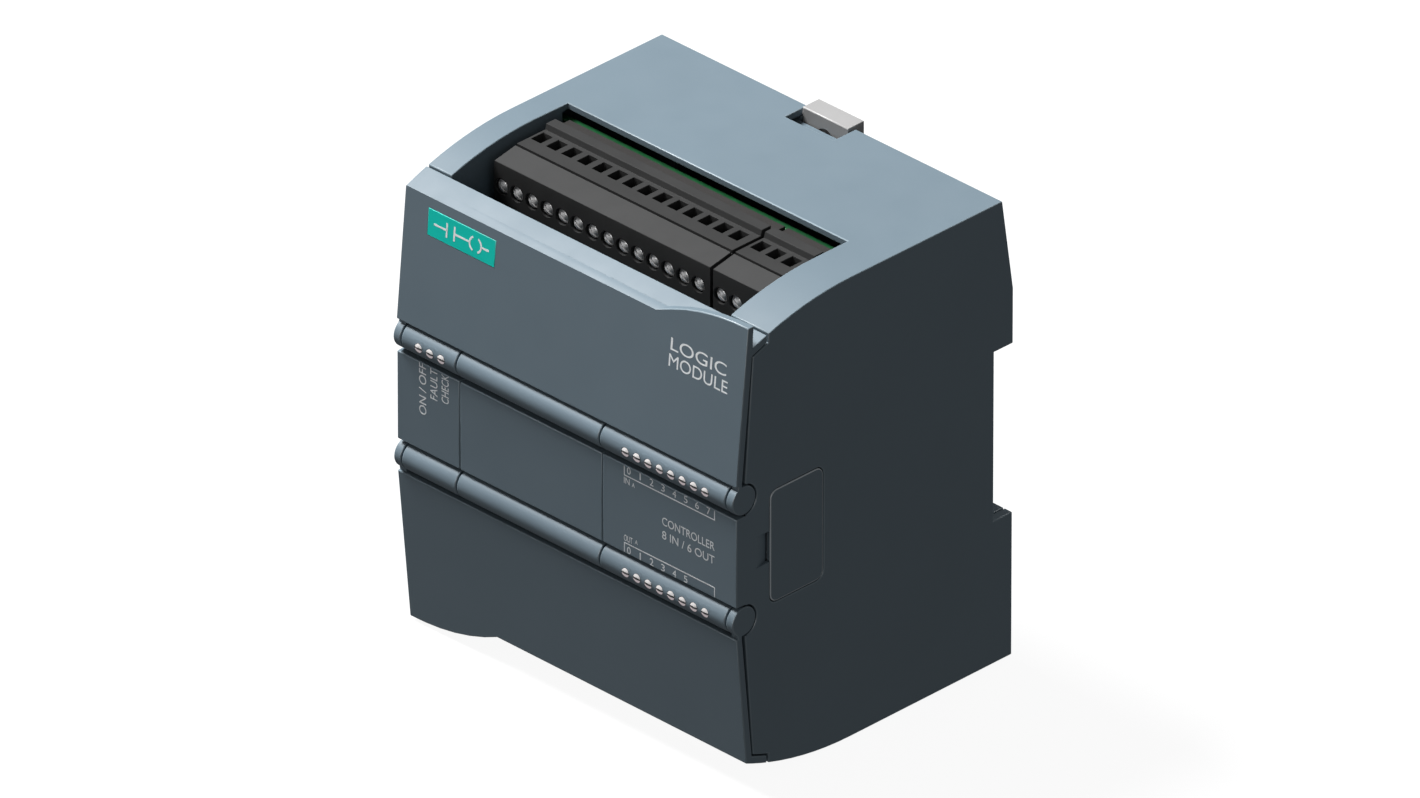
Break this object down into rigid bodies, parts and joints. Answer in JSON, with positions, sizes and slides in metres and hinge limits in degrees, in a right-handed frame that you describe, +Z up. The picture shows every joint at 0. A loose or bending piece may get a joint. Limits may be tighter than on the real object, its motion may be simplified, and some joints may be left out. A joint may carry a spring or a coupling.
{
  "type": "programmable logic controller module",
  "caption": "Compact controller module for a mounting rail, with hinged terminal doors, plug-in screw terminals, a removable front cover and pull-out rail clips.",
  "frame": {"origin": "centre of the pad in the rail channel that rests on the rail's front face", "axes": "+X to the module's right seen from the front, +Y back into the rail and the panel, +Z up; the front faces -Y"},
  "size_m": [0.09, 0.0742, 0.1004],
  "materials": {
    "housing": "fine matt grain, blue-grey",
    "name_plate": "printed teal plate with a plain symbol",
    "clip": "light grey, matt",
    "light_guide": "milky",
    "circuit_board": "green solder mask",
    "plug": "black, matt",
    "header": "black-brown, matt",
    "connector": "black, matt",
    "chip": "black epoxy",
    "ferrite": "grey, dull",
    "jack_shield": "tinned sheet",
    "screw": "nickel-plated"
  },
  "bodies": {
    "root": {"main_housing": "housing", "back_cover": "housing", "io_board": "circuit_board", "processor_board": "circuit_board", "board_link_connector": "connector", "processor_chip": "chip", "signal_board_socket": "connector", "expansion_connector": "connector", "comm_connector": "connector", "transformer": "ferrite", "relay_1": "connector", "relay_2": "connector", "relay_3": "connector", "relay_4": "connector", "relay_5": "connector", "relay_6": "connector", "ethernet_jack": "jack_shield", "memory_card_socket": "connector", "input_header": "header", "analog_header": "header", "output_header": "header", "status_light_guide": "light_guide", "input_light_guide": "light_guide", "output_light_guide": "light_guide"},
    "upper_door": {"upper_door": "housing", "label_plate": "name_plate"},
    "lower_door": {"lower_door": "housing"},
    "signal_board_cover": {"signal_board_cover": "housing"},
    "expansion_cover": {"expansion_port_cover": "housing"},
    "comm_cover": {"comm_port_cover": "housing"},
    "upper_clip": {"upper_din_clip": "clip"},
    "lower_clip": {"lower_din_clip": "clip"},
    "input_plug": {"input_plug": "plug"},
    "analog_plug": {"analog_plug": "plug"},
    "output_plug": {"output_plug": "plug"},
    "input_screw_01": {"input_screw_01": "screw"},
    "input_screw_02": {"input_screw_02": "screw"},
    "input_screw_03": {"input_screw_03": "screw"},
    "input_screw_04": {"input_screw_04": "screw"},
    "input_screw_05": {"input_screw_05": "screw"},
    "input_screw_06": {"input_screw_06": "screw"},
    "input_screw_07": {"input_screw_07": "screw"},
    "input_screw_08": {"input_screw_08": "screw"},
    "input_screw_09": {"input_screw_09": "screw"},
    "input_screw_10": {"input_screw_10": "screw"},
    "input_screw_11": {"input_screw_11": "screw"},
    "input_screw_12": {"input_screw_12": "screw"},
    "input_screw_13": {"input_screw_13": "screw"},
    "input_screw_14": {"input_screw_14": "screw"},
    "analog_screw_01": {"analog_screw_01": "screw"},
    "analog_screw_02": {"analog_screw_02": "screw"},
    "analog_screw_03": {"analog_screw_03": "screw"},
    "output_screw_01": {"output_screw_01": "screw"},
    "output_screw_02": {"output_screw_02": "screw"},
    "output_screw_03": {"output_screw_03": "screw"},
    "output_screw_04": {"output_screw_04": "screw"},
    "output_screw_05": {"output_screw_05": "screw"},
    "output_screw_06": {"output_screw_06": "screw"},
    "output_screw_07": {"output_screw_07": "screw"},
    "output_screw_08": {"output_screw_08": "screw"}
  },
  "joints": [
    {"name": "clip_lower_slide", "type": "slide", "parent": "root", "child": "lower_clip", "axis": [0, 0, -1], "range_m": [0, 0.008]},
    {"name": "clip_upper_slide", "type": "slide", "parent": "root", "child": "upper_clip", "axis": [0, 0, 1], "range_m": [0, 0.008]},
    {"name": "cover_comm_slide", "type": "slide", "parent": "root", "child": "comm_cover", "axis": [-1, 0, 0], "range_m": [0, 0.006]},
    {"name": "cover_expansion_slide", "type": "slide", "parent": "root", "child": "expansion_cover", "axis": [1, 0, 0], "range_m": [0, 0.006]},
    {"name": "cover_signal_board_slide", "type": "slide", "parent": "root", "child": "signal_board_cover", "axis": [0, 1, 0], "range_m": [-0.008, 0]},
    {"name": "door_lower_hinge", "type": "hinge", "parent": "root", "child": "lower_door", "pos_m": [0, -0.0662, -0.013], "axis": [-1, 0, 0], "range_deg": [0, 105]},
    {"name": "door_upper_hinge", "type": "hinge", "parent": "root", "child": "upper_door", "pos_m": [0, -0.0662, 0.013], "axis": [1, 0, 0], "range_deg": [0, 105]},
    {"name": "plug_analog_slide", "type": "slide", "parent": "root", "child": "analog_plug", "axis": [0, -1, 0], "range_m": [0, 0.009]},
    {"name": "plug_input_slide", "type": "slide", "parent": "root", "child": "input_plug", "axis": [0, -1, 0], "range_m": [0, 0.009]},
    {"name": "plug_output_slide", "type": "slide", "parent": "root", "child": "output_plug", "axis": [0, -1, 0], "range_m": [0, 0.009]},
    {"name": "screw_input_01_turn", "type": "hinge", "parent": "input_plug", "child": "input_screw_01", "pos_m": [-0.0352, -0.0496, 0.0414], "axis": [0, 1, 0], "continuous": true},
    {"name": "screw_input_02_turn", "type": "hinge", "parent": "input_plug", "child": "input_screw_02", "pos_m": [-0.0312, -0.0496, 0.0414], "axis": [0, 1, 0], "continuous": true},
    {"name": "screw_input_03_turn", "type": "hinge", "parent": "input_plug", "child": "input_screw_03", "pos_m": [-0.0272, -0.0496, 0.0414], "axis": [0, 1, 0], "continuous": true},
    {"name": "screw_input_04_turn", "type": "hinge", "parent": "input_plug", "child": "input_screw_04", "pos_m": [-0.0232, -0.0496, 0.0414], "axis": [0, 1, 0], "continuous": true},
    {"name": "screw_input_05_turn", "type": "hinge", "parent": "input_plug", "child": "input_screw_05", "pos_m": [-0.0192, -0.0496, 0.0414], "axis": [0, 1, 0], "continuous": true},
    {"name": "screw_input_06_turn", "type": "hinge", "parent": "input_plug", "child": "input_screw_06", "pos_m": [-0.0152, -0.0496, 0.0414], "axis": [0, 1, 0], "continuous": true},
    {"name": "screw_input_07_turn", "type": "hinge", "parent": "input_plug", "child": "input_screw_07", "pos_m": [-0.0112, -0.0496, 0.0414], "axis": [0, 1, 0], "continuous": true},
    {"name": "screw_input_08_turn", "type": "hinge", "parent": "input_plug", "child": "input_screw_08", "pos_m": [-0.0072, -0.0496, 0.0414], "axis": [0, 1, 0], "continuous": true},
    {"name": "screw_input_09_turn", "type": "hinge", "parent": "input_plug", "child": "input_screw_09", "pos_m": [-0.0032, -0.0496, 0.0414], "axis": [0, 1, 0], "continuous": true},
    {"name": "screw_input_10_turn", "type": "hinge", "parent": "input_plug", "child": "input_screw_10", "pos_m": [0.0008, -0.0496, 0.0414], "axis": [0, 1, 0], "continuous": true},
    {"name": "screw_input_11_turn", "type": "hinge", "parent": "input_plug", "child": "input_screw_11", "pos_m": [0.0048, -0.0496, 0.0414], "axis": [0, 1, 0], "continuous": true},
    {"name": "screw_input_12_turn", "type": "hinge", "parent": "input_plug", "child": "input_screw_12", "pos_m": [0.0088, -0.0496, 0.0414], "axis": [0, 1, 0], "continuous": true},
    {"name": "screw_input_13_turn", "type": "hinge", "parent": "input_plug", "child": "input_screw_13", "pos_m": [0.0128, -0.0496, 0.0414], "axis": [0, 1, 0], "continuous": true},
    {"name": "screw_input_14_turn", "type": "hinge", "parent": "input_plug", "child": "input_screw_14", "pos_m": [0.0168, -0.0496, 0.0414], "axis": [0, 1, 0], "continuous": true},
    {"name": "screw_analog_01_turn", "type": "hinge", "parent": "analog_plug", "child": "analog_screw_01", "pos_m": [0.0227, -0.0496, 0.0414], "axis": [0, 1, 0], "continuous": true},
    {"name": "screw_analog_02_turn", "type": "hinge", "parent": "analog_plug", "child": "analog_screw_02", "pos_m": [0.0267, -0.0496, 0.0414], "axis": [0, 1, 0], "continuous": true},
    {"name": "screw_analog_03_turn", "type": "hinge", "parent": "analog_plug", "child": "analog_screw_03", "pos_m": [0.0307, -0.0496, 0.0414], "axis": [0, 1, 0], "continuous": true},
    {"name": "screw_output_01_turn", "type": "hinge", "parent": "output_plug", "child": "output_screw_01", "pos_m": [0.007, -0.0496, -0.0414], "axis": [0, 1, 0], "continuous": true},
    {"name": "screw_output_02_turn", "type": "hinge", "parent": "output_plug", "child": "output_screw_02", "pos_m": [0.011, -0.0496, -0.0414], "axis": [0, 1, 0], "continuous": true},
    {"name": "screw_output_03_turn", "type": "hinge", "parent": "output_plug", "child": "output_screw_03", "pos_m": [0.015, -0.0496, -0.0414], "axis": [0, 1, 0], "continuous": true},
    {"name": "screw_output_04_turn", "type": "hinge", "parent": "output_plug", "child": "output_screw_04", "pos_m": [0.019, -0.0496, -0.0414], "axis": [0, 1, 0], "continuous": true},
    {"name": "screw_output_05_turn", "type": "hinge", "parent": "output_plug", "child": "output_screw_05", "pos_m": [0.023, -0.0496, -0.0414], "axis": [0, 1, 0], "continuous": true},
    {"name": "screw_output_06_turn", "type": "hinge", "parent": "output_plug", "child": "output_screw_06", "pos_m": [0.027, -0.0496, -0.0414], "axis": [0, 1, 0], "continuous": true},
    {"name": "screw_output_07_turn", "type": "hinge", "parent": "output_plug", "child": "output_screw_07", "pos_m": [0.031, -0.0496, -0.0414], "axis": [0, 1, 0], "continuous": true},
    {"name": "screw_output_08_turn", "type": "hinge", "parent": "output_plug", "child": "output_screw_08", "pos_m": [0.035, -0.0496, -0.0414], "axis": [0, 1, 0], "continuous": true}
  ]
}
